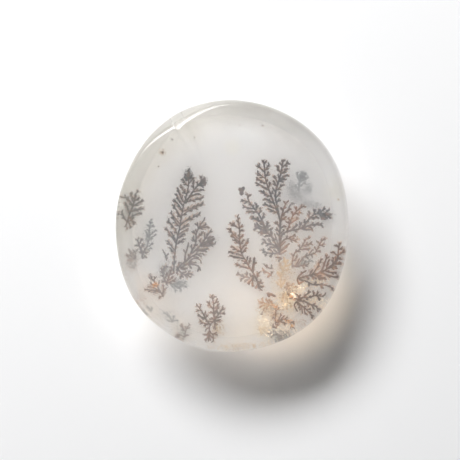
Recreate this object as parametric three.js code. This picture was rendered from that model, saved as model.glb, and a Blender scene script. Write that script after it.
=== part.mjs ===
// A polished palm stone of dendritic quartz, in millimetres, +Z up.
// The stone is one solid. Its top face is a low dome that ends at a soft crease. From there a narrow
// shoulder slopes down to the stone's widest line, the girth. The underside, the keel, is deeper and
// rounder, and is ground flat on a small spot, on which the stone rests. The origin is at the bottom
// centre of the stone's box. +Y is the stone's long way, and +Z looks out of the dome.

import * as THREE from "three";

// Driving dimensions
const WIDTH = 36; // across, along X
const LENGTH = 39; // the long way, along Y
const FACE_EDGE_HEIGHT = 9.5; // level at which the shoulder meets the top face
const DOME_RISE = 1.4; // how far the top face bulges
const SHOULDER_WIDTH = 0.6; // how far the shoulder reaches in from the outline
const SHOULDER_FALL = 1.05; // how far it reaches down to the girth, beside its width
const SHOULDER_ROUNDNESS = 1.5; // 2 is a round shoulder, and 1 a flat slope between two edges
const BEVEL = { width: 1.5, towards: 116.5, spread: 19 }; // the shoulder is ground wider on one side
const RESTING_SHARE = 0.3; // size of the flat spot beside the whole outline
const KEEL_SQUARENESS = 2.4; // 2 is an elliptical underside, and more is a squarer one

// The outline is a round one, pressed out of true by a few slow waves: how many bulges go round the
// stone, how high they are, and the direction of the first, in degrees from +X towards +Y.
const OUTLINE_WAVES = [
  { bulges: 2, height: 0.77, towards: 87.5 },
  { bulges: 3, height: 0.085, towards: -25 },
  { bulges: 4, height: 0.175, towards: 39 },
  { bulges: 5, height: 0.075, towards: -36 },
  { bulges: 7, height: 0.04, towards: 8.5 },
  { bulges: 8, height: 0.037, towards: -8 },
];
const MEAN_RADIUS = (WIDTH + LENGTH) / 4;
const GIRTH_WAVE = { bulges: 2, height: 0.22, towards: 150 }; // the girth isn't quite level
const CROWN_LEAN = { slope: 0.018, towards: -58 }; // the top face leans down a little to one side

// Fineness of the faceted surface
const SEGMENTS = 84; // round the stone
const KEEL_RINGS = 14; // from the resting spot to the girth
const SHOULDER_RINGS = 8; // from the girth to the top face
const DOME_RINGS = 8; // from the shoulder to the middle of the top face

const radians = THREE.MathUtils.degToRad;

// Height at an angle of a wave that goes a whole number of times round the stone.
function wave({ bulges, height, towards }, angle) {
  return height * Math.cos(bulges * (angle - radians(towards)));
}

// Distance from the stone's axis to its outline at an angle.
function outlineRadius(angle) {
  return OUTLINE_WAVES.reduce((radius, each) => radius + wave(each, angle), MEAN_RADIUS);
}

// Width of the shoulder at an angle: it is wider where the bevel is.
function shoulderWidth(angle) {
  const away = Math.atan2(Math.sin(angle - radians(BEVEL.towards)), Math.cos(angle - radians(BEVEL.towards)));
  return SHOULDER_WIDTH + BEVEL.width * Math.exp(-((away / radians(BEVEL.spread)) ** 2));
}

// Height of the shoulder at an angle: a wider shoulder also reaches further down.
function shoulderHeight(angle) {
  return SHOULDER_FALL * shoulderWidth(angle);
}

// How much the dome stands above its edge, at a share of the way from the axis to the outline.
function domeHeight(share) {
  return DOME_RISE * (1 - share ** 2);
}

// Distance from the axis and height of a point of the underside. step goes from 0 to 1.
function keelPoint(step, angle) {
  const turn = (step * Math.PI) / 2;
  const share = RESTING_SHARE + (1 - RESTING_SHARE) * Math.sin(turn) ** (2 / KEEL_SQUARENESS);
  const girth = FACE_EDGE_HEIGHT - shoulderHeight(angle);
  return [share * outlineRadius(angle), girth * (1 - Math.max(0, Math.cos(turn)) ** (2 / KEEL_SQUARENESS))];
}

// The same for the shoulder, from the girth up to the soft crease where the top face begins.
function shoulderPoint(step, angle) {
  const turn = (step * Math.PI) / 2;
  const power = 2 / SHOULDER_ROUNDNESS;
  const distance = outlineRadius(angle) - shoulderWidth(angle) * (1 - Math.max(0, Math.cos(turn)) ** power);
  const height = FACE_EDGE_HEIGHT - shoulderHeight(angle) * (1 - Math.sin(turn) ** power);
  return [distance, height + domeHeight(distance / outlineRadius(angle))];
}

// The same for the top face, from the shoulder to the middle.
function domePoint(step, angle) {
  const distance = (outlineRadius(angle) - shoulderWidth(angle)) * (1 - step);
  return [distance, FACE_EDGE_HEIGHT + domeHeight(distance / outlineRadius(angle))];
}

// A point of the stone's skin, by the number of its ring and its angle.
function skinPoint(ring, angle) {
  if (ring < 0) return [0, 0];
  if (ring <= KEEL_RINGS) return keelPoint(ring / KEEL_RINGS, angle);
  if (ring <= KEEL_RINGS + SHOULDER_RINGS) return shoulderPoint((ring - KEEL_RINGS) / SHOULDER_RINGS, angle);
  return domePoint((ring - KEEL_RINGS - SHOULDER_RINGS) / DOME_RINGS, angle);
}

// A lathe turns a plain ladder of rings, from the middle of the underside to the middle of the dome.
// Then each ring takes its real distance and height, with the girth's wave and the crown's lean.
function stoneGeometry() {
  const lastRing = KEEL_RINGS + SHOULDER_RINGS + DOME_RINGS;
  const ladder = [];
  for (let ring = -1; ring <= lastRing; ring += 1) {
    ladder.push(new THREE.Vector2(ring === -1 || ring === lastRing ? 0 : 1, ring));
  }
  const geometry = new THREE.LatheGeometry(ladder, SEGMENTS).rotateX(Math.PI / 2);
  const position = geometry.getAttribute("position");
  const point = new THREE.Vector3();
  for (let index = 0; index < position.count; index += 1) {
    point.fromBufferAttribute(position, index);
    const ring = Math.round(point.z);
    const angle = ring === -1 || ring === lastRing ? 0 : Math.atan2(point.y, point.x);
    const [distance, height] = skinPoint(ring, angle);
    const raised = Math.min(height / FACE_EDGE_HEIGHT, 1); // 0 on the ground, 1 on the top face
    const lean = CROWN_LEAN.slope * distance * Math.cos(angle - radians(CROWN_LEAN.towards));
    const ripple = wave(GIRTH_WAVE, angle) * (distance / outlineRadius(angle)) ** 4;
    const out = [distance * Math.cos(angle), distance * Math.sin(angle)];
    position.setXYZ(index, ...out, height + (ripple - lean) * raised);
  }
  geometry.computeBoundingBox();
  const size = geometry.boundingBox.getSize(new THREE.Vector3());
  const middle = geometry.boundingBox.getCenter(new THREE.Vector3());
  geometry.translate(-middle.x, -middle.y, -geometry.boundingBox.min.z);
  geometry.scale(WIDTH / size.x, LENGTH / size.y, 1);
  geometry.computeVertexNormals();
  return geometry;
}

const quartz = new THREE.MeshStandardMaterial({
  name: "milky quartz",
  color: new THREE.Color(0.86, 0.85, 0.83),
  roughness: 0.08,
  metalness: 0,
});

const stone = new THREE.Mesh(stoneGeometry(), quartz);
stone.name = "stone";

const part = new THREE.Group();
part.add(stone);

export default part;
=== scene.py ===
# %% [markdown]
# # A polished stone of dendritic quartz
# The object is one flattish pebble of milky quartz, ground and polished so that you can look into it.
# Inside, dark manganese and brown iron minerals once crept along healed cracks and left growths like
# ferns. The plan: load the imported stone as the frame, set up the camera and the light, cut a finer
# skin for the stone, give it real milky depth, and then grow the ferns inside it.

import math
import random

import bpy
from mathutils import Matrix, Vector
from mathutils.bvhtree import BVHTree


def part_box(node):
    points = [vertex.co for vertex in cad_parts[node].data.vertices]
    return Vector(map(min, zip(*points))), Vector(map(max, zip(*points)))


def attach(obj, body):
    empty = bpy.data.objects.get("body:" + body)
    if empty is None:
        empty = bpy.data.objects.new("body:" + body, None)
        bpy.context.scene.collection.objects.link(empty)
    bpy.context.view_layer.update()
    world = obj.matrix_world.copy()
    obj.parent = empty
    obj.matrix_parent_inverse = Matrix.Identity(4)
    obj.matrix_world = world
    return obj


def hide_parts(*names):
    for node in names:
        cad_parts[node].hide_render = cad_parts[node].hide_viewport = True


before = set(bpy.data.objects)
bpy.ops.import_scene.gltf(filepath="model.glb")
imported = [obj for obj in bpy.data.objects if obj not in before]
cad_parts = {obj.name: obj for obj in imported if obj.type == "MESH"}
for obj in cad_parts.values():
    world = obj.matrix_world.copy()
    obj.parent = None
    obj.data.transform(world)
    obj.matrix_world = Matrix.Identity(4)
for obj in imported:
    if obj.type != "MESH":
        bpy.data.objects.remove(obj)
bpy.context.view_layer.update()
MM = 0.001
low_corner, high_corner = (Vector(corner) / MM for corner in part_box("stone"))
stone_size = high_corner - low_corner
print("stone box in mm:", [round(side, 2) for side in stone_size])

# %% [markdown]
# ## The camera
# The photograph looks straight down on the stone, a little off its middle, from further away than a
# hand's length, so there is hardly any perspective. A long lens does the same. One pixel of the
# photograph is a fixed share of a millimetre on the stone, and that number is used again for
# everything that is placed by its pixels.

# %% Camera
SCENE = bpy.context.scene
PHOTO_WIDTH = 460  # pixels across the photograph, which is square
STONE_PIXELS = 232.2  # pixels across the stone in it
PIXEL = stone_size.x / STONE_PIXELS  # in mm
LENS, SENSOR = 100.0, 36.0
GIRTH_LEVEL = 8.2  # mm, the level at which the stone is widest
CAMERA_HEIGHT = GIRTH_LEVEL + LENS * PHOTO_WIDTH * PIXEL / SENSOR  # mm
CAMERA_PLACE = Vector((-2.1 * PIXEL, -3.8 * PIXEL, CAMERA_HEIGHT))

camera_data = bpy.data.cameras.new("camera")
camera_data.lens, camera_data.sensor_width, camera_data.clip_start = LENS, SENSOR, 0.001
camera = bpy.data.objects.new("camera", camera_data)
camera.location = CAMERA_PLACE * MM
SCENE.collection.objects.link(camera)
SCENE.camera = camera
print("one pixel is", round(PIXEL, 4), "mm, camera height", round(CAMERA_HEIGHT, 1), "mm")

# %% [markdown]
# ## A helper for finishes
# A finish is a small net of nodes. To write it like a sum, a Signal wraps one output socket: adding
# or multiplying signals adds the Math node for it. Every other node comes from the one method `node`.

# %% Finish and Signal
class Signal:
    """One output socket. Sums on it add Math nodes."""

    def __init__(self, finish, socket):
        self.finish, self.socket = finish, socket

    def _math(self, operation, first, second):
        return self.finish.node("ShaderNodeMath", {"operation": operation}, {0: first, 1: second})

    def __add__(self, other):
        return self._math("ADD", self, other)

    __radd__ = __add__

    def __mul__(self, other):
        return self._math("MULTIPLY", self, other)

    __rmul__ = __mul__

    def __sub__(self, other):
        return self._math("SUBTRACT", self, other)

    def __rsub__(self, other):
        return self._math("SUBTRACT", other, self)

    def at_most(self, other):
        return self._math("MINIMUM", self, other)

    def at_least(self, other):
        return self._math("MAXIMUM", self, other)


class Finish:
    """A material that is being made."""

    def __init__(self, name):
        self.material = bpy.data.materials.new(name)
        self.material.use_nodes = True
        self.tree = self.material.node_tree
        self.tree.nodes.clear()
        self.output = self.tree.nodes.new("ShaderNodeOutputMaterial")

    def node(self, kind, settings=None, sockets=None, out=0):
        """Adds a node: its settings first, then the values or links of its sockets."""
        made = self.tree.nodes.new(kind)
        for name, value in (settings or {}).items():
            if name == "stops":
                for number, (place, colour) in enumerate(value):
                    if number >= len(made.color_ramp.elements):
                        made.color_ramp.elements.new(place)
                    stop = made.color_ramp.elements[number]
                    stop.position, stop.color = place, (*colour, 1)
            else:
                setattr(made, name, value)
        for name, value in (sockets or {}).items():
            if isinstance(value, Signal):
                self.tree.links.new(value.socket, made.inputs[name])
            elif made.inputs[name].type == "RGBA" and len(value) == 3:
                made.inputs[name].default_value = (*value, 1)
            else:
                made.inputs[name].default_value = value
        return Signal(self, made.outputs[out])

    def mix(self, amount, first, second):
        """One colour where amount is 0, the other where it is 1."""
        return self.node("ShaderNodeMix", {"data_type": "RGBA"}, {0: amount, 6: first, 7: second}, out=2)

    def place(self):
        """Where a point of the piece is, in metres."""
        return self.node("ShaderNodeTexCoord", out="Object")

    def ramp(self, value, start, end):
        """0 below start, 1 above end, and a smooth change between."""
        settings = {"interpolation_type": "SMOOTHSTEP"}
        return self.node("ShaderNodeMapRange", settings, {"Value": value, "From Min": start, "From Max": end})

    def noise(self, grain, detail=2.0, warp=0.0):
        """Cloudy noise, around 0.5, whose blotches are about grain millimetres across."""
        sockets = {"Vector": self.place(), "Scale": 1 / (grain * MM), "Detail": detail, "Distortion": warp}
        return self.node("ShaderNodeTexNoise", None, sockets)

    def spot(self, centre, radius, softness=1.0):
        """1 at a point given in mm, fading to 0 at the radius."""
        sockets = {0: self.place(), 1: tuple(Vector(centre) * MM)}
        away = self.node("ShaderNodeVectorMath", {"operation": "DISTANCE"}, sockets, out="Value")
        return 1 - self.ramp(away, radius * MM * (1 - softness), radius * MM)

    def end(self, surface, volume=None):
        self.tree.links.new(surface.socket, self.output.inputs["Surface"])
        if volume:
            self.tree.links.new(volume.socket, self.output.inputs["Volume"])
        return self.material


print("helpers ready")

# %% [markdown]
# ## The floor
# The stone lies on a pale sheet that fades into a white background, so a very wide flat square will do.
# It is only a stage, and isn't part of the stone. Its white is dull and just a little uneven, because a
# perfectly even one looks painted.

# %% Floor
def new_piece(name, points, faces, material, smooth=True):
    """A mesh object from points in mm."""
    mesh = bpy.data.meshes.new(name)
    mesh.from_pydata([tuple(Vector(point) * MM) for point in points], [], faces)
    mesh.materials.append(material)
    for face in mesh.polygons:
        face.use_smooth = smooth
    mesh.update()
    piece = bpy.data.objects.new(name, mesh)
    SCENE.collection.objects.link(piece)
    return piece


sheet = Finish("pale sheet")
paper = sheet.mix(sheet.noise(30), (0.925, 0.925, 0.93), (0.935, 0.935, 0.94))
dull = sheet.node("ShaderNodeBsdfPrincipled", None, {"Base Color": paper, "Roughness": 0.7})
paper_finish = sheet.end(dull)
HALF_FLOOR, FLOOR_GAP = 3000.0, 0.05  # mm; the gap keeps the two flat faces from flickering
floor_corners = [
    (x * HALF_FLOOR, y * HALF_FLOOR, -FLOOR_GAP) for x, y in ((-1, -1), (1, -1), (1, 1), (-1, 1))]
floor = new_piece("floor", floor_corners, [(0, 1, 2, 3)], paper_finish, smooth=False)
print("floor", 2 * HALF_FLOOR / 1000, "m wide")

# %% [markdown]
# ## Lamps and sky
# Soft daylight falls from the upper left, so the shadow lies at the lower right. One broad low lamp
# gives it. The polish doesn't mirror that lamp, but a thin, weak one beside it, which makes the
# highlight as narrow as the real one. A milky stone also gathers light and gives it off where it is
# clear or thin, most of all at the lower right. Narrow lamps from above stand for that, and they show
# no mirror image. A dim sky keeps the shadow open.

# %% Lamps and sky
def aim_from(lamp, towards, raised, away, target=(0, 0, 0)):
    """Puts a lamp in a direction from its target, both in degrees, and points it at the target."""
    turn, rise = math.radians(towards), math.radians(raised)
    back = Vector((math.cos(rise) * math.cos(turn), math.cos(rise) * math.sin(turn), math.sin(rise))) * away
    lamp.location = Vector(target) * MM + back
    lamp.rotation_euler = (-back).to_track_quat("-Z", "Y").to_euler()
    SCENE.collection.objects.link(lamp)


LAMPS = {  # direction in degrees, size in metres, power, and whether the polish mirrors it
    "daylight": dict(towards=118, size=(0.50, 0.20), power=5.8, mirrored=False),
    "window": dict(towards=122, size=(0.50, 0.032), power=0.15, mirrored=True),
}
LAMP_RISE, LAMP_DISTANCE, GLOW_DISTANCE = 35, 0.6, 0.4  # degrees, metres, metres
for name, made in LAMPS.items():
    lamp_data = bpy.data.lights.new(name, "AREA")
    lamp_data.shape, (lamp_data.size, lamp_data.size_y) = "ELLIPSE", made["size"]
    lamp_data.energy, lamp_data.color = made["power"], (0.99, 0.995, 1)
    lamp = bpy.data.objects.new(name, lamp_data)
    lamp.visible_glossy = made["mirrored"]
    aim_from(lamp, towards=made["towards"], raised=LAMP_RISE, away=LAMP_DISTANCE)

GLOWS = {  # light that the stone gathers: target in mm, radius in mm, power, colour
    "gathered glow": dict(target=(-0.6, 0.5, 9), radius=17.5, blend=0.8, power=4.4, colour=(1, 0.99, 0.97)),
    "low glow": dict(target=(-2.0, -10.5, 9), radius=8.8, blend=1.0, power=4.1, colour=(1, 0.92, 0.82)),
    "left glow": dict(target=(-10.5, -9.0, 9), radius=6.8, blend=1.0, power=5.8, colour=(1, 0.93, 0.85)),
    "right glow": dict(target=(12.5, -1.5, 9), radius=5.4, blend=1.0, power=7.0, colour=(1, 0.98, 0.95)),
    "warm glow": dict(target=(7.9, -10.0, 9), radius=5.4, blend=1.0, power=29, colour=(1, 0.81, 0.61)),
}
for name, glow in GLOWS.items():
    glow_data = bpy.data.lights.new(name, "SPOT")
    glow_data.energy, glow_data.color = glow["power"], glow["colour"]
    glow_data.shadow_soft_size, glow_data.spot_blend = 0.01, glow["blend"]
    glow_data.spot_size = 2 * math.atan(glow["radius"] * MM / GLOW_DISTANCE)
    glow_lamp = bpy.data.objects.new(name, glow_data)
    glow_lamp.visible_glossy = glow_lamp.visible_transmission = False  # no mirror image, only a glow
    aim_from(glow_lamp, towards=-50, raised=88, away=GLOW_DISTANCE, target=glow["target"])

sky = bpy.data.worlds.new("sky")
sky.use_nodes = True
sky.node_tree.nodes["Background"].inputs["Color"].default_value = (1, 0.985, 0.965, 1)
sky.node_tree.nodes["Background"].inputs["Strength"].default_value = 0.16
SCENE.world = sky

SCENE.view_settings.view_transform = "Standard"
SCENE.cycles.max_bounces = 24
SCENE.cycles.transmission_bounces = 16
SCENE.cycles.transparent_max_bounces = 16
SCENE.cycles.volume_bounces = 8
SCENE.cycles.sample_clamp_indirect = 10
print("lamps:", [*LAMPS, *GLOWS])

# %% [markdown]
# ## The stone's skin
# The CAD stone is faceted coarsely enough to weigh little. A polished surface shows every facet in
# its highlight, so the same form is cut again here with many more rings, and the coarse one is
# hidden. The formulas are those of the solid: a keel like a rounded square, a narrow shoulder that is
# ground wider on one side, and a low dome with a soft crease round it. One thing is added that is too
# fine for the solid: the crease steps inwards at the upper left, where a nick breaks the highlight.

# %% Form of the stone
FACE_EDGE_HEIGHT, DOME_RISE = 9.5, 1.4
SHOULDER_WIDTH = 0.6  # how far the shoulder reaches in from the outline
SHOULDER_FALL = 1.05  # how far it reaches down, beside its width
SHOULDER_ROUNDNESS = 1.5  # 2 is a round shoulder, and 1 a flat slope between two edges
BEVEL = dict(width=1.5, towards=116.5, spread=19)
RESTING_SHARE, KEEL_SQUARENESS = 0.3, 2.4
OUTLINE_WAVES = [  # bulges, height, towards
    (2, 0.77, 87.5), (3, 0.085, -25), (4, 0.175, 39), (5, 0.075, -36), (7, 0.04, 8.5), (8, 0.037, -8)]
GIRTH_WAVE = (2, 0.22, 150)
CROWN_LEAN = dict(slope=0.018, towards=-58)
MEAN_RADIUS = (36 + 39) / 4
NICK = dict(width=0.5, towards=119.4, sharpness=0.5, spread=5.0)  # the crease steps inwards there


def wave(bulges, height, towards, angle):
    return height * math.cos(bulges * (angle - math.radians(towards)))


def swell(angle, towards, spread):
    """1 at a direction, fading to 0 over a spread, all in degrees but the angle."""
    away = math.remainder(angle - math.radians(towards), 2 * math.pi)
    return math.exp(-((away / math.radians(spread)) ** 2))


def outline_radius(angle):
    return MEAN_RADIUS + sum(wave(*each, angle) for each in OUTLINE_WAVES)


def bevel_width(angle):
    return SHOULDER_WIDTH + BEVEL["width"] * swell(angle, BEVEL["towards"], BEVEL["spread"])


def shoulder_width(angle):
    past = NICK["towards"] - math.degrees(angle)
    step = 1 / (1 + math.exp(-max(-50, min(50, past / NICK["sharpness"]))))
    return bevel_width(angle) + NICK["width"] * step * swell(angle, NICK["towards"], NICK["spread"])


def shoulder_height(angle):
    return SHOULDER_FALL * bevel_width(angle)


def dome_height(share):
    return DOME_RISE * (1 - share**2)


print("radius", round(outline_radius(0), 2), "to", round(outline_radius(math.pi / 2), 2), "mm")

# %% Rings of the skin
KEEL_RINGS, SHOULDER_RINGS, DOME_RINGS = 56, 34, 60
degrees = [number * 6 / 7 for number in range(420)] + [113.1 + number * 0.3 for number in range(42)]
angles = [math.radians(each) for each in sorted(degrees)]  # closer together at the nick
SEGMENTS = len(angles)


def keel_point(step, angle):
    turned = step * math.pi / 2
    share = RESTING_SHARE + (1 - RESTING_SHARE) * math.sin(turned) ** (2 / KEEL_SQUARENESS)
    girth = FACE_EDGE_HEIGHT - shoulder_height(angle)
    return share * outline_radius(angle), girth * (1 - max(0, math.cos(turned)) ** (2 / KEEL_SQUARENESS))


def shoulder_point(step, angle):
    turned = step * math.pi / 2
    radius = outline_radius(angle)
    out = radius - shoulder_width(angle) * (1 - max(0, math.cos(turned)) ** (2 / SHOULDER_ROUNDNESS))
    fall = shoulder_height(angle) * (1 - math.sin(turned) ** (2 / SHOULDER_ROUNDNESS))
    height = FACE_EDGE_HEIGHT - fall + dome_height(out / radius)
    return out, height


def dome_point(step, angle):
    out = (outline_radius(angle) - shoulder_width(angle)) * (1 - step)
    return out, FACE_EDGE_HEIGHT + dome_height(out / outline_radius(angle))


def skin_point(out, height, angle):
    """A point of the skin in mm, with the girth's wave and the crown's lean."""
    raised = min(height / FACE_EDGE_HEIGHT, 1)
    lean = CROWN_LEAN["slope"] * out * math.cos(angle - math.radians(CROWN_LEAN["towards"]))
    ripple = wave(*GIRTH_WAVE, angle) * (out / outline_radius(angle)) ** 4
    return Vector((out * math.cos(angle), out * math.sin(angle), height + (ripple - lean) * raised))


steps = [(keel_point, number / KEEL_RINGS) for number in range(KEEL_RINGS + 1)]
steps += [(shoulder_point, number / SHOULDER_RINGS) for number in range(1, SHOULDER_RINGS + 1)]
steps += [(dome_point, number / DOME_RINGS) for number in range(1, DOME_RINGS)]
rings = [[form(step, angle) for angle in angles] for form, step in steps]
print(len(rings), "rings of", SEGMENTS)

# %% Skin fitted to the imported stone
def fitted(point):
    return Vector(low_corner[axis] + (point[axis] - skin_low[axis]) * stretch[axis] for axis in range(3))


skin = [skin_point(out, height, angle) for ring in rings for (out, height), angle in zip(ring, angles)]
skin += [Vector((0, 0, 0)), Vector((0, 0, FACE_EDGE_HEIGHT + DOME_RISE))]
skin_low = Vector(min(point[axis] for point in skin) for axis in range(3))
skin_high = Vector(max(point[axis] for point in skin) for axis in range(3))
stretch = [stone_size[axis] / (skin_high - skin_low)[axis] for axis in range(3)]
skin = [fitted(point) for point in skin]

skin_faces = []
for ring in range(len(rings) - 1):
    for number in range(SEGMENTS):
        first, second = ring * SEGMENTS + number, ring * SEGMENTS + (number + 1) % SEGMENTS
        skin_faces.append((first, second, second + SEGMENTS, first + SEGMENTS))
bottom, crown, last = len(skin) - 2, len(skin) - 1, (len(rings) - 1) * SEGMENTS
for number in range(SEGMENTS):
    skin_faces.append((bottom, (number + 1) % SEGMENTS, number))
    skin_faces.append((crown, last + number, last + (number + 1) % SEGMENTS))
print("fitted with scales", [round(each, 4) for each in stretch], len(skin_faces), "faces")

# %% [markdown]
# ## Quartz
# Milky quartz is clear glass full of tiny bubbles. Light goes in through the polished top, scatters
# many times and comes out all over, which is why the stone glows and why a fern deep inside looks
# pale and blurred beside one just under the skin. Painting that would only work from one side, so
# the stone is really filled: a clear polished surface with a scattering volume inside. Lamps can't
# shine straight through a bending surface, so their shadow rays are let through the top. Clouds and
# stains are soft spots of colour near the polish, broken up by noise. Grey spots along the top rim,
# and a darker band round the dome's rim on the lamp side, are painted shade with a little stain in
# them. The underside is ground less finely, so it is duller and loses its clear coat.

# %% Quartz finish
def on_stone(column, row, level=9.0):
    """The point in mm at a pixel of the photograph and a level of the stone."""
    share = (CAMERA_HEIGHT - level) * SENSOR / LENS / PHOTO_WIDTH
    return (CAMERA_PLACE.x + (column + 0.5 - PHOTO_WIDTH / 2) * share,
            CAMERA_PLACE.y - (row + 0.5 - PHOTO_WIDTH / 2) * share, level)


BENDING = 1.54  # how strongly quartz bends light
TINTS_AND_SHADE = [  # column, row, radius in mm, colour: stains and clouds just under the polish, and painted shade
    (285, 300, 6.5, (0.98, 0.89, 0.76)),
    (262, 330, 5.0, (0.98, 0.91, 0.78)),
    (160, 312, 8.0, (0.99, 0.93, 0.86)),
    (225, 330, 7.0, (0.96, 0.91, 0.83)),
    (140, 290, 5.0, (0.98, 0.88, 0.78)),
    (152, 313, 5.0, (0.98, 0.90, 0.80)),
    (178, 333, 5.0, (0.98, 0.91, 0.82)),
    (225, 312, 6.0, (0.97, 0.92, 0.86)),
    (238, 340, 4.5, (0.99, 0.93, 0.84)),
    # the next five greys are painted shade along the dome's top rim, a little yellow where it is also stained
    (150, 152, 5.0, (0.80, 0.76, 0.66)),
    (138, 165, 5.0, (0.78, 0.75, 0.68)),
    (182, 128, 5.5, (0.74, 0.71, 0.64)),
    (238, 106, 6.5, (0.66, 0.64, 0.61)),
    (290, 126, 6.5, (0.74, 0.74, 0.74)),
    (245, 134, 5.0, (0.93, 0.95, 0.95)),
    (232, 148, 2.6, (0.97, 0.94, 0.80)),
    (210, 156, 2.0, (0.97, 0.94, 0.82)),
    (330, 190, 3.5, (0.93, 0.91, 0.82)),
]
quartz = Finish("milky quartz")
height = quartz.node("ShaderNodeSeparateXYZ", None, {0: quartz.place()}, out="Z")
cloud = quartz.noise(6, detail=3, warp=1.0)
tint = quartz.mix(quartz.noise(14, warp=1.5), (0.97, 0.97, 0.965), (0.93, 0.925, 0.91))
for column, row, radius, colour in TINTS_AND_SHADE:
    patch = quartz.spot(on_stone(column, row), radius) * quartz.ramp(cloud, 0.25, 0.6)
    tint = quartz.mix(patch, tint, colour)


def far_towards(angle):
    """How far a point lies in a level direction, in metres."""
    way = (math.cos(math.radians(angle)), math.sin(math.radians(angle)), 0)
    sockets = {0: quartz.place(), 1: way}
    return quartz.node("ShaderNodeVectorMath", {"operation": "DOT_PRODUCT"}, sockets, out="Value")


print(len(TINTS_AND_SHADE), "clouds of colour")

# %% Rim shade and stains, underside and nick
RIM_SHADE_AND_STAINS = [  # direction in degrees, start and end that way in mm, levels between which it thins, colour: painted shade on the dome's rim towards the lamp, with a little yellow stain
    (110, 2, 17, 9.75, 10.35, (0.52, 0.50, 0.46)), (148, 6, 16, 9.9, 10.75, (0.74, 0.71, 0.63))]
mottle = 0.6 + 0.8 * quartz.noise(2.5, detail=3)
for towards, near, far, low, high, colour in RIM_SHADE_AND_STAINS:
    growing = quartz.ramp(far_towards(towards), near * MM, far * MM)
    # painted shade: the dome's rim is darker on the lamp side, thinning inwards and mottled by noise
    rim_shade_and_stain = (1 - quartz.ramp(height, low * MM, high * MM)) * growing
    tint = quartz.mix((rim_shade_and_stain * mottle).at_most(1), tint, colour)
keel = 1 - quartz.ramp(height, 3.0 * MM, 8.5 * MM)
tint = quartz.mix(keel, tint, (0.64, 0.59, 0.54))
sides = quartz.ramp(height, 6.5 * MM, 8.5 * MM)  # 0 on the underside, 1 from the girth up
NICK_PLACE = on_stone(177.4, 125.8, 9.8)
worn = quartz.spot(NICK_PLACE, 0.85, softness=0.5)  # the nick is dull
matt = 0.42 - sides * 0.18 + worn * 0.08
print(len(RIM_SHADE_AND_STAINS), "stains, nick at", [round(side, 2) for side in NICK_PLACE])

# %% Polish, milk and the skin
clear = quartz.node("ShaderNodeBsdfPrincipled", None, {
    "Base Color": tint, "Roughness": matt, "IOR": BENDING, "Transmission Weight": 0.97,
    "Coat Weight": sides * (1 - worn), "Coat Roughness": 0.03, "Coat IOR": BENDING})
let_through = quartz.node("ShaderNodeBsdfTransparent", None, {"Color": (1.0, 1.0, 1.0)})
lamp_ray = quartz.node("ShaderNodeLightPath", out="Is Shadow Ray")
CROWN_START, CROWN_END = 8.0, 8.4  # mm
DIMMED = [  # column, row, radius in mm, share of the lamps' light that the milk near the top holds back
    (151, 142, 24, 0.66), (225, 258, 9, 0.34), (300, 145, 12, 0.34), (235, 105, 8, 0.25)]
let_in = 0.98
for column, row, radius, share in DIMMED:
    let_in = let_in - quartz.spot(on_stone(column, row), radius) * share
lamp_side = quartz.ramp(far_towards(LAMPS["daylight"]["towards"]), 4 * MM, 14 * MM)
open_to_lamps = quartz.ramp(height, CROWN_START * MM, CROWN_END * MM).at_least(lamp_side)
lit = lamp_ray * open_to_lamps * let_in
skin_shader = quartz.node("ShaderNodeMixShader", None, {0: lit, 1: clear, 2: let_through})
milk = quartz.node("ShaderNodeVolumeScatter", None, {
    "Color": (0.950, 0.968, 0.990), "Density": 190.0, "Anisotropy": 0.1})
quartz_finish = quartz.end(skin_shader, milk)

stone = new_piece("stone_skin", skin, skin_faces, quartz_finish)
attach(stone, "root")
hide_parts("stone")
print("stone_skin", len(stone.data.polygons), "faces")

# %% [markdown]
# ## Looking into the stone
# The ferns are placed by their pixels in the photograph. A line of sight bends where it
# enters the quartz, so each pixel is followed down from the camera, bent by the surface it meets,
# and stopped at the wanted depth. Near the rim the stone is thin, so the depth is kept well inside.

# %% Line of sight
inside = BVHTree.FromPolygons(skin, skin_faces)
BEND = 1 / BENDING
SKIN_MARGIN = 0.32  # mm of clear quartz that stays over and under every growth


def sight(column, row, depth):
    """The point in mm that shows at a pixel and lies depth mm under the skin, and the skin's normal."""
    per_pixel = SENSOR / PHOTO_WIDTH / LENS
    aim = Vector((column + 0.5 - PHOTO_WIDTH / 2, PHOTO_WIDTH / 2 - row - 0.5, 0)) * per_pixel
    ray = (aim + Vector((0, 0, -1))).normalized()
    for _ in range(40):
        met, normal, _, _ = inside.ray_cast(CAMERA_PLACE, ray)
        if met and normal.z > 0.35:
            break
        aim *= 0.993  # beside the stone or on its steep rim, so look a little further in
        ray = (aim + Vector((0, 0, -1))).normalized()
    facing = -ray.dot(normal)
    bent = BEND * ray + (BEND * facing - math.sqrt(1 - BEND**2 * (1 - facing**2))) * normal
    _, _, _, room = inside.ray_cast(met + bent * 0.01, bent)
    reach = min(depth / -bent.z, max(SKIN_MARGIN, (room or 1) * 0.6))
    return met + bent * reach, normal


print("middle of the photograph, 2 mm deep:", [round(side, 2) for side in sight(230, 230, 2)[0]])

# %% [markdown]
# ## How a fern grows
# A mineral fern is a stem with side strokes that lean towards its tip, each with short twigs on it,
# and all end in blunt clubs. As it creeps along a crack it uses up the mineral around it, so no twig
# grows into another: that even spacing is what makes it look like a fern. Each fern below is drawn
# by a stem and by the tips of its side strokes. The code bends each stroke into place and then
# adds twigs, by chance from a fixed seed, wherever there is still room.

# %% Lines of a fern
STEP = 0.9  # pixels between the points of a stroke


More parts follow.
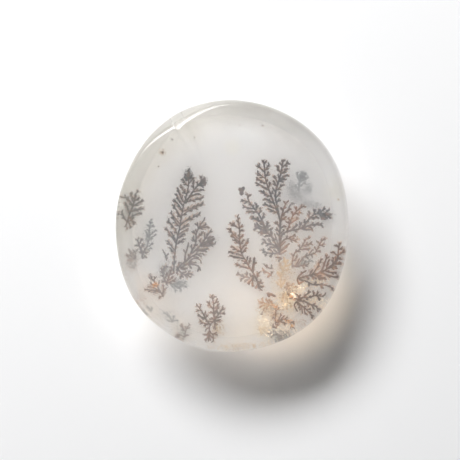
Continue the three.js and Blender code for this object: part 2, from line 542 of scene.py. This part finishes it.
def smooth_line(points):
    """A curve through the points, in even steps."""
    ends = [points[0], *points, points[-1]]
    line = []
    for a, b, c, d in zip(ends, ends[1:], ends[2:], ends[3:]):
        count = max(2, round(math.dist(b, c) / STEP))
        for number in range(count):
            t = number / count
            line.append(tuple(
                0.5 * (2 * b[k] + (c[k] - a[k]) * t + (2 * a[k] - 5 * b[k] + 4 * c[k] - d[k]) * t * t
                       + (3 * b[k] - a[k] - 3 * c[k] + d[k]) * t**3) for k in (0, 1)))
    return line + [points[-1]]


def heading(line, number):
    first, second = line[max(0, number - 2)], line[min(len(line) - 1, number + 2)]
    length = math.dist(first, second) or 1
    return (second[0] - first[0]) / length, (second[1] - first[1]) / length


def turned(direction, angle):
    x, y = direction
    return x * math.cos(angle) - y * math.sin(angle), x * math.sin(angle) + y * math.cos(angle)


def side_line(stem, tip, lean, knee_turn):
    """A bent line to the tip, which leaves the stem where it can lean about so many radians."""
    def cost(number):
        length = math.dist(stem[number], tip)
        if length < 1:
            return math.inf
        x, y = heading(stem, number)
        along = (x * (tip[0] - stem[number][0]) + y * (tip[1] - stem[number][1])) / length
        return 3 * abs(math.acos(max(-1, min(1, along))) - lean) + 0.2 * length

    number = min(range(len(stem)), key=cost)
    start, (x, y) = stem[number], heading(stem, number)
    side = 1 if x * (tip[1] - start[1]) - y * (tip[0] - start[0]) > 0 else -1
    length = math.dist(start, tip)
    knee_way = turned((x, y), side * (lean + knee_turn))
    knee = tuple(start[k] + knee_way[k] * length * 0.45 for k in (0, 1))
    count = max(3, round(length / STEP))
    shares = [number / count for number in range(count + 1)]
    return [tuple((1 - t) ** 2 * start[k] + 2 * t * (1 - t) * knee[k] + t * t * tip[k] for k in (0, 1))
            for t in shares]


print("a stem of 20 pixels has", len(smooth_line([(0, 0), (0, 20)])), "points")

# %% Room between the strokes
CELL = 3  # pixels


class Room:
    """Remembers where strokes lie, so that new ones can keep clear of them."""

    def __init__(self):
        self.cells = {}

    def take(self, line, owner):
        for point in line:
            self.cells.setdefault((point[0] // CELL, point[1] // CELL), []).append((point, owner))

    def free(self, point, owner, gap):
        column, row = point[0] // CELL, point[1] // CELL
        around = [(column + c, row + r) for c in (-1, 0, 1) for r in (-1, 0, 1)]
        near = [each for cell in around for each in self.cells.get(cell, ())]
        return all(whose == owner or math.dist(point, other) >= gap for other, whose in near)


print("strokes are sorted into cells of", CELL, "pixels")

# %% Whole ferns
LEAN = math.radians(40)
GAP = 2.1  # pixels between the middles of two neighbouring strokes


def club(line, width, chance):
    """Gives a line its width: thin where it starts and blunt at its end."""
    last = len(line) - 1
    return [(*point, width * (0.8 + 0.35 * (number / last) ** 2) * chance.uniform(0.88, 1.12))
            for number, point in enumerate(line)]


def add_twigs(line, owner, width, reach, room, chance, strokes):
    length = (len(line) - 1) * STEP
    for side in (-1, 1):
        place = chance.uniform(1.6, 3.2)
        while place < length - 0.6:
            at = min(len(line) - 1, round(place / STEP))
            way = turned(heading(line, at), side * math.radians(chance.uniform(35, 53)))
            goal = reach * chance.uniform(0.75, 1.3) * min(1, 0.55 + (length - place) / 6)
            twig = [line[at]]
            while len(twig) * STEP < goal + STEP:
                twig.append((twig[-1][0] + way[0] * STEP, twig[-1][1] + way[1] * STEP))
                way = turned(way, side * -0.12)
                if len(twig) > 2 and not room.free(twig[-1], owner, GAP):
                    twig.pop()
                    break
            if len(twig) > 2:
                strokes.append(club(twig, width, chance))
                room.take(twig[1:], ("twig", id(twig), place))
            place += 3.1 * chance.uniform(0.85, 1.2)


def grow_all(ferns, seed):
    """The strokes of every fern, as lists of (column, row, width), in pixels."""
    chance, room, grown = random.Random(seed), Room(), {}
    for name, fern in ferns.items():
        stem = smooth_line(fern["stem"])
        last = len(stem) - 1
        trunk = [(*point, fern["width"] * (1.15 - 0.3 * number / last)) for number, point in enumerate(stem)]
        arms = [stem] + [side_line(stem, tip, LEAN, chance.uniform(-0.25, 0.45)) for tip in fern["tips"]]
        strokes = [trunk]
        strokes += [club(arm, fern["width"] * chance.uniform(0.85, 1.05), chance) for arm in arms[1:]]
        grown[name] = (strokes, arms)
        for number, arm in enumerate(arms):
            room.take(arm, (name, number))
    for name, (strokes, arms) in grown.items():
        width, reach = ferns[name]["width"] * 0.9, ferns[name]["twig"]
        for number, arm in enumerate(arms):
            if reach:
                add_twigs(arm, (name, number), width, reach, room, chance, strokes)
    return {name: strokes for name, (strokes, _) in grown.items()}


print("ready to grow")

# %% [markdown]
# ## The ferns of this stone
# Each fern was looked at on its own: where its stem runs, where its side strokes end, and how dark and
# how blurred it is, which tells how deep it lies. On the left stand the tall fern and a fan, and in the
# middle the great fern with its many arms. Small ones crowd round the ochre patch at the lower right.
# One line each is enough, and the rules above grow the rest.

# %% The ferns, as drawn from the photograph
def pixels(text):
    """Pixels of the photograph, each written as column,row."""
    return [tuple(int(number) for number in pixel.split(",")) for pixel in text.split()]


DRAWN = [  # name, hue, depth in mm, width of its strokes, length of its twigs, stem, tips of its side strokes
    ("tall fern", "slate", 0.87, 1.4, 2.8,
     "173,272 174,258 175,247 177,237 179,228 181,216 183,205 186,195 188,184 188,169",
     "184,173 192,174 182,178 180,184 177,187 176,193 173,199 172,204 176,210 170,212 172,216 167,220 "
     "165,227 170,231 172,236 167,240 169,247 194,177 196,193 203,197 203,203 197,207 200,213 190,217 "
     "188,223 188,228 184,233 183,238"),
    ("tall fern's dark tip", "slate", 0.8, 2.6, 0, "186,180 188,175 188,170", "184,176 192,177"),
    ("its fork's dark tip", "slate", 0.75, 2.4, 0, "200,184 203,180 204,177", "206,182"),
    ("right arm's dark tip", "slate", 0.8, 2.6, 0, "321,215 326,214 331,214", "327,218"),
    ("tall fern's fork", "slate", 0.74, 1.5, 2.8, "185,203 189,196 194,189 199,183 203,178",
     "193,180 197,181 201,176 205,180 205,184 203,189 199,193"),
    ("fan, upper arm", "slate", 0.93, 1.6, 2.8,
     "176,270 181,264 187,259 191,251 195,243 196,233 199,226 203,220",
     "192,237 191,244 206,224 208,226 203,231 204,219 197,222 193,230"),
    ("fan, middle arm", "slate", 0.93, 1.6, 2.8, "191,253 197,248 202,242 207,235 211,229",
     "200,238 204,232 215,243 211,243 213,236 208,248 205,250 202,250"),
    ("fan, dark lobe", "slate", 0.81, 2.9, 0, "200,245 206,242 211,240 214,238", "213,243 210,236"),
    ("fan, low arm", "slate", 0.99, 1.4, 2.8, "183,264 190,257 196,254 203,253", "197,251 198,257 201,256"),
    ("fan, lone finger", "slate", 0.93, 1.7, 0, "184,263 185,254 187,247 188,242", "183,249"),
    ("fan, curled arm", "slate", 1.05, 1.5, 0, "182,266 187,263 193,258 199,259 201,263",
     "192,261 196,262"),
    ("fan, curled arm below", "slate", 0.99, 1.7, 0, "180,268 186,264 193,264 198,266 200,270",
     "191,268 197,271 187,268 184,269"),
    ("fan, foot", "slate", 1.05, 1.6, 2.8, "176,266 179,271 184,274 191,273",
     "183,277 187,277 190,277 186,271 190,270 176,273 181,277"),
    ("fan, loops", "brown", 0.93, 1.1, 0, "178,262 180,266 183,268 187,267", "181,262 177,267 185,270"),
    ("small fork", "slate", 1.12, 1.4, 0, "166,260 165,255 162,249", "168,253 167,257"),
    ("low left tuft", "slate", 1.24, 1.5, 2.8, "167,285 164,279 162,272 161,267",
     "160,271 166,273 161,280 166,265"),
    ("low left tuft, right", "brown", 1.18, 1.6, 2.8, "166,283 168,277 170,272 172,268",
     "166,272 174,272 175,279 173,276"),
    ("low pale tuft", "deep", 2.4, 1.3, 3.2, "170,284 175,283 181,281",
     "176,290 173,287 181,289 186,287 185,283"),
    ("edge fern", "slate", 1.5, 1.6, 2.8, "127,222 129,214 132,207 134,199 135,193",
     "127,208 125,202 124,196 130,192 131,197 138,190 139,197 143,200 143,208 141,212 122,217 121,211 "
     "133,218"),
    ("edge fern's foot", "brown", 1.36, 1.4, 2.8, "128,216 127,221 125,226",
     "131,219 134,217 134,224 131,227 127,229"),
    ("second fern", "deep", 2.2, 1.35, 2.6, "141,257 144,251 147,244 149,236 149,228 151,219",
     "147,224 153,224 145,230 146,234 155,229 156,234 153,243 144,254 151,247 147,240"),
    ("second fern's fork", "slate", 1.49, 1.7, 2.8, "142,252 139,246 137,239", "141,238 142,243 136,244"),
    ("left smudge", "brown", 1.86, 1.3, 2.8, "135,259 135,254 136,249",
     "130,252 128,248 132,249 128,254 131,256"),
    ("rust star", "brown", 1.12, 1.25, 2.8, "163,296 159,290 156,284 152,279 149,274",
     "154,276 159,280 163,284 164,288 158,297 155,289 150,283 147,286 144,289"),
    ("bottom fern", "brown", 0.87, 1.4, 2.8, "214,321 213,311 213,303 211,295",
     "207,301 214,296 217,298 219,303 218,306 210,306 210,311 217,310 216,316 211,317"),
    ("bottom fern, right arm", "brown", 0.87, 1.4, 2.8, "213,321 217,315 220,311 223,307",
     "224,312 221,316 217,311 220,319"),
    ("bottom fern, left arm", "brown", 0.87, 1.4, 2.8, "209,324 205,318 202,312 198,306",
     "200,304 196,305 196,309 197,315 199,321 205,311 206,314 200,317"),
    ("bottom fern, foot", "brown", 0.93, 1.3, 2.8, "214,320 210,324 209,330 213,335",
     "203,325 205,329 215,329 216,325 217,334 206,335 208,341 213,341 205,321"),
    ("bottom fern, root", "brown", 1.12, 1.6, 2.8, "209,333 207,337 205,341", "204,335 210,340 214,338"),
    ("slim fern", "brown", 0.81, 1.5, 2.8,
     "258,288 257,281 253,273 249,267 246,261 242,255 240,247 239,238 239,228 237,216",
     "232,222 229,222 228,228 231,234 234,239 231,245 228,251 229,255 233,257 241,260 235,263 240,266 "
     "242,224 242,229 243,234 243,239 248,240 246,247 247,256 250,257 258,272 261,280 244,262"),
    ("slim fern, dark finger", "brown", 0.74, 2.5, 0, "252,271 253,265 254,257", "256,262"),
    ("slim fern, low arm", "brown", 1.49, 1.7, 2.8, "254,280 248,277 243,276 237,273",
     "244,280 240,279 249,273 245,273"),
    ("slim fern, foot", "russet", 0.81, 1.7, 2.8, "253,274 256,279 258,284 260,289",
     "251,280 247,283 252,286 255,288 262,283 262,287 250,276"),
    ("great fern, left arm", "slate", 0.68, 1.7, 2.8,
     "279,254 279,244 279,234 280,224 278,214 274,204 271,196 268,188 265,178 264,168 263,160",
     "257,164 260,167 257,172 256,177 255,182 260,190 261,186 264,198 264,203 267,208 269,164 268,171 "
     "266,160 270,182 272,190 275,221 276,227 276,232 284,225 284,229 281,219"),
    ("great fern, middle arm", "slate", 0.68, 1.7, 2.8,
     "279,218 277,207 275,197 276,188 279,178 281,169 283,159",
     "276,165 279,162 274,175 273,180 272,187 288,162 287,168 287,174 284,178 283,184 279,198 278,205 "
     "280,192"),
    ("great fern, short arm", "brown", 0.74, 1.8, 2.8, "279,226 281,217 283,209 286,202",
     "284,201 288,200 290,208 281,207 284,214 286,216"),
    ("knob beside it", "slate", 1.24, 1.9, 0, "287,212 289,206 292,202", "294,203"),
    ("great fern, long left arm", "slate", 0.81, 1.7, 2.8,
     "279,252 275,243 271,236 266,231 263,224 259,215 253,207 248,200 247,193",
     "241,199 249,194 243,206 246,211 250,216 256,203 260,207 264,213 255,218 259,223 268,222 270,228 "
     "256,224 260,233 271,231 265,235"),
    ("its dark head", "slate", 0.7, 4.2, 0, "241,194 241,190", "243,187 239,188"),
    ("its dark side lobe", "slate", 0.93, 2, 2.8, "264,230 259,228 254,226",
     "254,223 253,229 258,232 256,222"),
    ("its dark heart", "slate", 1.2, 2.3, 2.8, "266,231 264,227 262,221", "268,225 269,229 260,230"),
    ("great fern, right arm", "slate", 0.81, 1.8, 2.8,
     "279,238 283,233 290,230 297,229 303,226 308,219 314,214 322,213 330,214",
     "304,219 301,222 309,211 315,209 320,209 325,208 329,209 330,218 325,219 318,217 308,229 312,229 "
     "297,224 294,226"),
    ("right arm's finger", "slate", 0.93, 1.9, 2.8, "303,227 309,225 316,224 322,225", "312,228 313,222"),
    ("rusty arm", "russet", 0.74, 1.6, 2.8, "286,232 289,224 291,218 294,213 298,209 304,205",
     "288,217 292,211 296,206 301,212 298,217 294,220 288,221"),
    ("great fern, low left arm", "slate", 0.99, 1.6, 2.8, "279,253 273,253 266,252 261,249",
     "268,248 273,249 264,254 269,256 262,252"),
    ("great fern, curl", "slate", 0.93, 1.7, 2.8, "277,248 272,244 266,243 264,239",
     "268,238 262,242 269,247"),
    ("great fern, inner finger", "slate", 0.81, 1.4, 0, "278,246 276,239 274,233", "272,237"),
    ("great fern, low right arm", "brown", 0.81, 1.6, 2.8, "279,246 283,240 288,238 294,240 297,238",
     "287,235 290,236 295,235 292,242"),
    ("its rungs", "brown", 0.81, 1.4, 0, "279,254 280,248 280,242 281,236",
     "289,243 285,241 287,246 286,250 283,252"),
    ("great fern, root", "brown", 0.81, 1.7, 0, "281,258 278,257 275,257", "278,261"),
    ("deep fern", "deep", 2.6, 1.5, 2.4, "298,190 299,183 301,176 303,171",
     "306,172 308,176 297,176 296,172 305,181 295,184 301,171"),
    ("middle right fern", "brown", 0.87, 1.4, 2.8, "292,267 292,260 294,253 299,249 303,243 306,238",
     "291,253 296,249 299,244 310,237 311,243 310,248 304,249 297,256 299,258 304,239"),
    ("middle right, low arm", "brown", 0.99, 1.4, 2.8, "291,263 295,266 301,265 308,264",
     "299,263 304,267 305,262"),
    ("middle right, long arm", "brown", 0.93, 1.4, 2.8,
     "296,266 300,261 304,256 310,254 315,252 318,246 321,241 325,237",
     "308,257 303,259 312,249 314,246 320,250 324,243 318,241 312,255"),
    ("middle right, pale arm", "deep", 2, 1.3, 3.2, "299,264 305,262 312,260", "306,260"),
    ("right fern", "brown", 0.68, 1.7, 2.8,
     "298,278 305,276 312,274 320,272 327,268 333,263 337,257 338,249 339,242",
     "312,269 319,265 321,258 324,262 329,259 332,251 333,257 336,244 342,246 344,249 340,257 340,262 "
     "337,268 336,272 338,277 330,277 326,279 322,279 316,278 309,278"),
    ("right fern, long finger", "brown", 0.62, 1.7, 2.8, "320,272 323,266 325,260 327,254",
     "329,256 323,262"),
    ("right fern, dark side", "brown", 0.68, 2, 2.8, "328,268 333,264 337,259 338,253",
     "335,256 340,263 336,266"),
    ("right fern, rusty hook", "russet", 0.62, 1.7, 0, "299,284 297,279 300,274 306,270",
     "301,271 303,281"),
    ("right fern, low finger", "brown", 0.81, 1.7, 2.8, "299,279 306,281 312,284 319,284 326,285 333,288",
     "309,285 316,282 323,288 330,285"),
    ("corner fern, upper arm", "brown", 0.68, 1.7, 2.8, "297,299 303,297 309,297 315,295 323,296",
     "310,291 314,292 318,292 325,294 320,299 305,294 300,294"),
    ("corner fern, middle arm", "brown", 0.81, 1.7, 2.8, "297,300 304,301 310,304 317,306",
     "315,303 318,309 314,309 308,306"),
    ("corner fern, low arm", "brown", 0.74, 1.5, 2.8, "296,301 301,305 306,309 312,316",
     "302,313 305,314 306,306 310,309 300,309"),
    ("corner fern, short arm", "brown", 0.68, 1.4, 0, "296,301 294,305 297,311", "299,305"),
    ("corner fern, root", "russet", 0.62, 1.4, 0, "301,299 294,298 289,295", "288,293 295,293 289,298"),
    ("ochre star", "tan", 0.74, 1.15, 2.8, "274,305 268,304 262,302 258,301",
     "261,298 259,306 265,299 268,299 263,308"),
    ("ochre tuft", "russet", 0.81, 1.15, 2.8, "276,328 275,320 275,312 276,305",
     "279,307 273,306 272,316 281,314 279,318 271,324 284,315"),
    ("ochre arcs", "brown", 0.87, 1.5, 2.8, "276,322 283,319 289,321 292,327",
     "287,317 286,323 290,328 294,323"),
    ("rim fern", "slate", 1.61, 1.9, 2.8, "278,339 284,338 290,336", "282,341 287,334"),
    ("brown fleck", "brown", 0.74, 2.7, 0, "267,293 271,294 275,296", "269,296"),
    ("small hook", "brown", 0.87, 1.4, 0, "272,268 267,267 263,263", "266,264 271,264"),
    ("small hook below", "russet", 0.87, 1.4, 2.8, "271,275 267,272 262,270", "271,271 267,276"),
    ("low left specks", "brown", 1.4, 1.2, 2.8, "184,337 185,331 188,325",
     "187,334 181,335 189,324 181,323 176,334"),
    ("second fern, lower", "brown", 1.6, 1.5, 2, "142,258 142,253 146,247", "148,252 140,250 146,256"),
    ("left tuft", "brown", 1.8, 1.4, 2, "131,262 131,255 128,249", "126,253 134,250 136,256 127,259"),
    ("left tuft, lower", "deep", 2.4, 1.3, 2, "134,268 130,263 126,262", "128,266 134,262"),
    ("rim veil", "slate", 1.4, 1.4, 2.4, "290,338 283,336 276,334 270,336",
     "286,331 280,330 273,330 278,340 285,341 268,332"),
    ("ochre vein", "ochre", 1.5, 1.3, 1.8, "281,288 280,278 283,268 287,260",
     "276,282 285,279 277,271 288,268 279,262 291,263 284,257"),
    ("ochre vein, lower", "ochre", 1.2, 1.4, 1.8, "285,292 287,300 286,308",
     "291,298 281,301 291,306 282,309"),
    ("ochre crumbs", "tan", 1.1, 1.6, 1.6, "284,287 289,285 294,287", "288,282 294,283 290,289"),
    ("low left specks, upper", "deep", 2.4, 1.3, 2, "172,322 169,316 164,312", "174,315 166,319 178,320"),
    ("low left speck", "deep", 2.6, 1.4, 1.6, "151,311 148,307 146,305", "152,307"),
]
FERNS = {name: dict(hue=hue, depth=depth, width=width, twig=twig, stem=pixels(stem), tips=pixels(tips))
         for name, hue, depth, width, twig, stem, tips in DRAWN}
print(len(FERNS), "ferns are drawn")

# %% [markdown]
# ## From lines to growths
# A growth fills a thin crack, so every stroke becomes a flat rod with blunt ends. The ferns near the
# polish are grown three times, from other seeds each time: once crisp and dark, once a little deeper
# and paler, which fills the gaps as in a feather, and once deeper still, as a soft shade under them.

# %% Strokes to solid growths
SIDES = 6
FLATNESS = 0.45  # the growths follow cracks, so they are thinner than wide
growths = {}  # hue: (points, faces)


def add_stroke(stroke, depth_at, points, faces):
    """A flattened rod along a stroke, with closed blunt ends."""
    rail = [sight(column, row, depth_at(column, row)) for column, row, _ in stroke]
    start = len(points)
    for number, ((place, normal), (_, _, width)) in enumerate(zip(rail, stroke)):
        before, after = rail[max(0, number - 1)][0], rail[min(len(rail) - 1, number + 1)][0]
        along = (after - before).normalized()
        across = along.cross(normal).normalized()
        up = across.cross(along)
        half = width * PIXEL / 2 * (0.7 if number in (0, len(rail) - 1) else 1)
        for side in range(SIDES):
            turn = 2 * math.pi * side / SIDES
            points.append(place + across * half * math.cos(turn) + up * half * FLATNESS * math.sin(turn))
    for ring in range(len(rail) - 1):
        for side in range(SIDES):
            first, second = start + ring * SIDES + side, start + ring * SIDES + (side + 1) % SIDES
            faces.append((first, second, second + SIDES, first + SIDES))
    for end, inward in ((0, 1), (len(rail) - 1, -1)):
        half = stroke[end][2] * PIXEL / 2
        points.append(rail[end][0] + (rail[end][0] - rail[end + inward][0]).normalized() * half * 0.55)
        for side in range(SIDES):
            first, second = start + end * SIDES + side, start + end * SIDES + (side + 1) % SIDES
            faces.append((len(points) - 1, *((second, first) if inward > 0 else (first, second))))


def add_ferns(ferns, seed, deeper, wider, hue=None):
    """Turns ferns into rods, all deeper and wider by so much."""
    for name, strokes in grow_all(ferns, seed).items():
        fern = ferns[name]
        points, faces = growths.setdefault(hue or fern["hue"], ([], []))

        def depth_at(column, row):
            """Ferns rise a little from their root towards the polished face."""
            rise = min(0.35, 0.006 * math.dist(fern["stem"][0], (column, row)))
            return deeper + fern["depth"] * (1.25 - rise)

        for stroke in strokes:
            wide = [(column, row, width * wider) for column, row, width in stroke]
            add_stroke(wide, depth_at, points, faces)


shallow = {name: fern for name, fern in FERNS.items() if fern["hue"] != "deep"}
deep = {name: fern for name, fern in FERNS.items() if fern["hue"] == "deep"}
add_ferns(shallow, seed=5, deeper=0, wider=1.0)
add_ferns(shallow, seed=8, deeper=0.4, wider=0.95, hue="fill")
add_ferns(deep, seed=6, deeper=0, wider=1.1)
# painted shade: a third copy of the ferns, deeper and paler, stands for the shade under them
add_ferns(shallow, seed=7, deeper=1.1, wider=1.0, hue="undergrowth")
print({hue: len(faces) for hue, (_, faces) in growths.items()})

# %% [markdown]
# ## Dust and fuzz
# Where a growth lies deep, its finest parts are too small to see one by one and look like smoke. The
# ochre patch is made of crumbs. Its pale cream grains are partly a painted glow where the stone
# gathers light, and a few sparks glow by themselves as a painted glint. Soft blots of colour would
# look flat, so all of it is real grains, scattered by chance round listed places. Close to the
# strokes the crack is stained by finer grains still, which soften every edge.

# %% Dust
DUST = [  # hue, and its clouds: column, row, spread across and down in pixels, turn, depth in mm, grains
    ("deep", [(302, 176, 4, 5, 0, 2.4, 270), (296, 194, 8, 8, 0, 3.4, 500), (306, 203, 9, 5, 0, 3.8, 300),
        (291, 186, 4, 7, 0, 3.2, 160), (308, 188, 4, 6, 0, 3, 200), (316, 206, 6, 5, 0, 3, 120),
        (188, 175, 4, 6, 0, 1.6, 220), (203, 180, 3, 4, 0, 1.6, 110)]),
    # a smoky cloud in the colour of the shade under the ferns, below the left tuft
    ("undergrowth", [(132, 262, 7, 12, 20, 2.4, 280)]),
    ("deep", [(130, 206, 7, 12, 0, 2.2, 160), (148, 236, 5, 13, 10, 2.6, 200),
        (165, 270, 8, 9, 0, 2.2, 260), (178, 284, 8, 5, 0, 2.6, 260), (168, 314, 9, 5, 0, 2.8, 110),
        (182, 330, 8, 6, 0, 2.2, 90), (282, 336, 12, 4, 0, 1.8, 110)]),
    ("slate", [(264, 228, 5, 8, 0, 1.6, 50), (325, 215, 6, 4, 0, 1.2, 100), (211, 240, 5, 5, 0, 1.3, 40)]),
    ("tan", [(162, 152, 0.8, 0.8, 0, 0.6, 9)]), ("ochre", [(162, 152, 3.5, 3.5, 0, 1, 26)]),
    ("orange", [(162, 152, 2, 2, 0, 0.8, 12)]), ("brown", [(158, 166, 0.5, 0.5, 0, 0.4, 16)]),
    ("fuzz", [(172, 139, 1.2, 0.8, 0, 0.9, 6), (194, 137, 0.8, 0.8, 0, 0.9, 4),
        (262, 125, 1.5, 0.6, 20, 0.9, 9), (239, 125, 0.6, 0.6, 0, 0.9, 4)]),
    ("ochre", [(338, 199, 1, 1, 0, 0.8, 6), (283, 272, 10, 15, 0, 1.8, 420),
        (268, 308, 10, 7, 0, 1.6, 220)]), ("tan", [(291, 291, 6, 5, 0, 1, 120)]),
    ("orange", [(155, 284, 3, 2.8, 0, 0.8, 48)]),
    ("ochre", [(218, 328, 7, 7, 0, 1.5, 110), (264, 326, 8, 9, 0, 1.8, 160)]),
    # cream grains: pale crumbs, and also a painted glow where the stone gathers light at the lower right
    ("cream", [(297, 289, 12, 6, -25, 1, 260), (284, 303, 12, 9, 0, 1.2, 240),
        (267, 322, 9, 11, 0, 1.2, 260), (312, 301, 12, 9, 0, 1.6, 300), (316, 282, 10, 4, 0, 1.5, 160),
        (285, 328, 10, 6, 0, 1.4, 150)]),
    # spark grains are a painted glint: their finish glows by itself
    ("spark", [(292, 293, 1.5, 1.4, 0, 0.45, 12), (294, 296, 1.2, 1.2, 0, 0.45, 8),
        (300, 286, 4, 2.5, 0, 0.7, 6), (265, 321, 5, 4, 0, 0.7, 8), (283, 305, 3, 3, 0, 0.7, 4),
        (268, 333, 5, 4, 0, 0.9, 5)]), ("tan", [(295, 286, 2.4, 1.3, 20, 0.6, 16)]),
    ("brown", [(288, 294, 1.4, 1.3, 0, 0.55, 12)]),
    ("orange", [(294, 299, 1.4, 1.2, 0, 0.5, 12), (290, 296, 1.2, 1.2, 0, 0.5, 8),
        (275, 306, 3, 2, 0, 0.7, 20)]), ("russet", [(261, 313, 1.6, 1.4, 0, 0.7, 12)]),
    ("tan", [(268, 301, 3, 2, 0, 0.7, 18)]), ("orange", [(276, 319, 4, 4.5, 0, 0.9, 30)]),
    ("tan", [(273, 313, 4, 4, 0, 0.9, 24)]),
    ("orange", [(288, 321, 4, 3, 0, 0.8, 26), (292, 325, 2, 1.4, 0, 0.7, 14)]),
    ("ochre", [(283, 296, 5, 3, 0, 0.8, 24), (262, 330, 4, 5, 0, 0.9, 26)]),
    ("tan", [(300, 322, 5, 4, 0, 1.2, 30), (271, 312, 7, 12, 0, 1.6, 160),
        (140, 300, 8, 12, 40, 2.8, 120)]), ("ochre", [(240, 345, 26, 3, -4, 1.6, 160)]),
]
GRAIN = 0.75  # pixels
CORNERS = [Vector(corner).normalized() for corner in ((1, 1, 1), (1, -1, -1), (-1, 1, -1), (-1, -1, 1))]


def add_grain(column, row, depth, size, points, faces):
    """A tiny four-sided grain, finer the deeper it lies."""
    place, _ = sight(column, row, depth)
    size *= max(0.55, 1.15 - 0.2 * depth)
    start, twist = len(points), chance.uniform(0, math.pi)
    for corner in CORNERS:
        x, y = turned((corner.x, corner.y), twist)
        points.append(place + Vector((x, y, corner.z * 0.7)) * size * PIXEL * 0.62)
    for a, b, c in ((0, 1, 2), (0, 3, 1), (0, 2, 3), (1, 3, 2)):
        faces.append((start + a, start + b, start + c))


chance = random.Random(11)
for hue, clouds in DUST:
    points, faces = growths.setdefault(hue, ([], []))
    for column, row, across, down, turn, depth, count in clouds:
        for _ in range(round(count * (1 + depth / 1.5))):
            off = chance.gauss(0, across * 0.55), chance.gauss(0, down * 0.55)
            dx, dy = turned(off, math.radians(turn))
            grain_depth, size = depth * chance.uniform(0.7, 1.3), GRAIN * chance.uniform(0.6, 1.6)
            add_grain(column + dx, row + dy, grain_depth, size, points, faces)
print("dust grains:", sum(cloud[-1] for _, clouds in DUST for cloud in clouds))

# %% Fuzz
FUZZ_PER_POINT, FUZZ_REACH, FUZZ_DEEPER = 2, 1.3, 0.5  # grains, pixels, mm
points, faces = growths.setdefault("fuzz", ([], []))
for name, strokes in grow_all(shallow, seed=5).items():
    for stroke in strokes:
        for column, row, width in stroke:
            for _ in range(FUZZ_PER_POINT):
                add_grain(column + chance.gauss(0, FUZZ_REACH), row + chance.gauss(0, FUZZ_REACH),
                          FERNS[name]["depth"] + chance.uniform(0.1, 2 * FUZZ_DEEPER), GRAIN, points, faces)
print("fuzz faces:", len(faces))

# %% [markdown]
# ## Finishes of the growths
# The dark ferns are a manganese mineral, and the brown, orange and ochre ones hold iron. No growth has
# one even colour, so each finish mixes three, in large blotches and in fine flecks. They are dull: the
# gloss belongs to the quartz above them.

# %% Finishes of the growths
HUES = {  # three colours, mixed in blotches
    "slate": ((0.030, 0.027, 0.033), (0.070, 0.048, 0.044), (0.20, 0.12, 0.08)),
    "brown": ((0.035, 0.014, 0.008), (0.085, 0.034, 0.017), (0.26, 0.12, 0.06)),
    "russet": ((0.035, 0.014, 0.008), (0.11, 0.040, 0.018), (0.32, 0.15, 0.07)),
    "tan": ((0.12, 0.060, 0.032), (0.28, 0.15, 0.07), (0.45, 0.29, 0.15)),
    "ochre": ((0.40, 0.26, 0.11), (0.52, 0.36, 0.17), (0.28, 0.16, 0.08)),
    "orange": ((0.62, 0.30, 0.11), (0.75, 0.42, 0.18), (0.50, 0.22, 0.08)),
    "cream": ((0.95, 0.82, 0.62), (0.98, 0.90, 0.76), (0.90, 0.66, 0.40)),
    "deep": ((0.018, 0.017, 0.020), (0.03, 0.026, 0.028), (0.04, 0.032, 0.030)),
    "fill": ((0.40, 0.31, 0.27), (0.52, 0.40, 0.32), (0.68, 0.50, 0.37)),
    "spark": ((1.0, 0.90, 0.76), (1.0, 0.94, 0.84), (1.0, 0.80, 0.60)),
    "undergrowth": ((0.28, 0.21, 0.18), (0.38, 0.27, 0.21), (0.48, 0.34, 0.24)),
    "fuzz": ((0.22, 0.16, 0.14), (0.34, 0.22, 0.16), (0.50, 0.32, 0.20)),
}
for hue, (points, faces) in growths.items():
    mineral = Finish(hue + " mineral")
    large = mineral.ramp(mineral.noise(2.6, detail=2), 0.40, 0.60)
    fine = mineral.ramp(mineral.noise(0.7, detail=2), 0.52, 0.68)
    colour = mineral.mix(fine * 0.7, mineral.mix(large, HUES[hue][0], HUES[hue][1]), HUES[hue][2])
    gleam = 1.0 if hue == "spark" else 0  # painted glint: the spark grains glow by themselves, though they are no lamp
    finish = mineral.end(mineral.node("ShaderNodeBsdfPrincipled", None, {
        "Base Color": colour, "Roughness": 0.8, "Emission Color": colour, "Emission Strength": gleam}))
    piece = new_piece("ferns_" + hue, points, faces, finish)
    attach(piece, "root")
    print(piece.name, len(faces), "faces")
